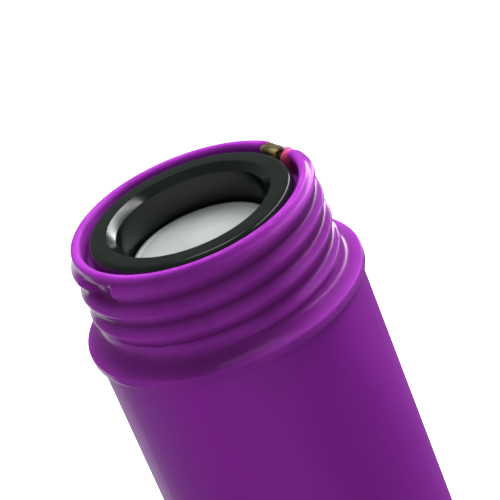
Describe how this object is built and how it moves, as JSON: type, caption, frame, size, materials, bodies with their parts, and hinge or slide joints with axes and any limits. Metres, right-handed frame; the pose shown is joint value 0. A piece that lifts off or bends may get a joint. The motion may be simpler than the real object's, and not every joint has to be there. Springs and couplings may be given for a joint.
{
  "type": "light-up juggling club",
  "caption": "Light-up juggling club with a hollow head, a plain handle tube and an open threaded neck that holds a battery cell.",
  "frame": {"origin": "centre of the flat end cap that the club stands on", "axes": "+Z along the club's axis from the head to the open neck; +Y away from the viewer of the neck"},
  "size_m": [0.088, 0.088, 0.51],
  "materials": {
    "neck_plastic": "glossy, slightly waxy",
    "tube_plastic": "satin",
    "bulb_plastic": "satin, translucent",
    "black_plastic": "matt",
    "sleeve_plastic": "glossy",
    "brass": "dulled",
    "spring_steel": "plated",
    "red_insulation": "glossy",
    "black_insulation": "glossy",
    "cell_steel": "satin nickel plate",
    "cell_wrap": "glossy film",
    "white_plastic": "matt",
    "board_green": "satin",
    "board_white": "satin",
    "ferrite": "matt",
    "aluminium": "mill finish",
    "cap_rubber": "matt",
    "screw_steel": "plated",
    "light_lens": "clear lens"
  },
  "bodies": {
    "club": {"threaded_neck": "neck_plastic", "handle_tube": "tube_plastic", "bulb_shell": "bulb_plastic", "bulb_collar": "black_plastic", "battery_sleeve": "sleeve_plastic", "sleeve_base": "black_plastic", "spring_rivet": "brass", "contact_spring": "spring_steel", "contact_strip": "brass", "contact_lead": "red_insulation", "driver_board": "board_green", "driver_chip": "black_plastic", "driver_coil": "ferrite", "driver_mount": "white_plastic", "wire_feed": "red_insulation", "wire_return": "black_insulation", "core_cable": "black_insulation", "core_tube": "aluminium", "core_plug": "aluminium", "core_bushing": "white_plastic", "top_plug": "black_plastic", "top_cap": "cap_rubber", "top_washer": "screw_steel", "top_screw": "screw_steel", "light_board_1": "board_white", "light_1_1": "light_lens", "light_1_2": "light_lens", "light_1_3": "light_lens", "light_1_4": "light_lens", "light_board_2": "board_white", "light_2_1": "light_lens", "light_2_2": "light_lens", "light_2_3": "light_lens", "light_2_4": "light_lens", "light_board_3": "board_white", "light_3_1": "light_lens", "light_3_2": "light_lens", "light_3_3": "light_lens", "light_3_4": "light_lens"},
    "contact": {"contact_plate": "brass"},
    "cell": {"cell_can": "cell_steel", "cell_wrap": "cell_wrap", "cell_gasket": "white_plastic", "cell_button": "cell_steel"}
  },
  "joints": [
    {"name": "contact_press", "type": "slide", "parent": "club", "child": "contact", "axis": [0, 0, 1], "range_m": [-0.002, 0], "stiffness_N_per_m": 600, "springref_m": 0.003, "deforming": ["contact_spring"]},
    {"name": "cell_lift", "type": "slide", "parent": "contact", "child": "cell", "axis": [0, 0, 1], "range_m": [0, 0.042]}
  ]
}
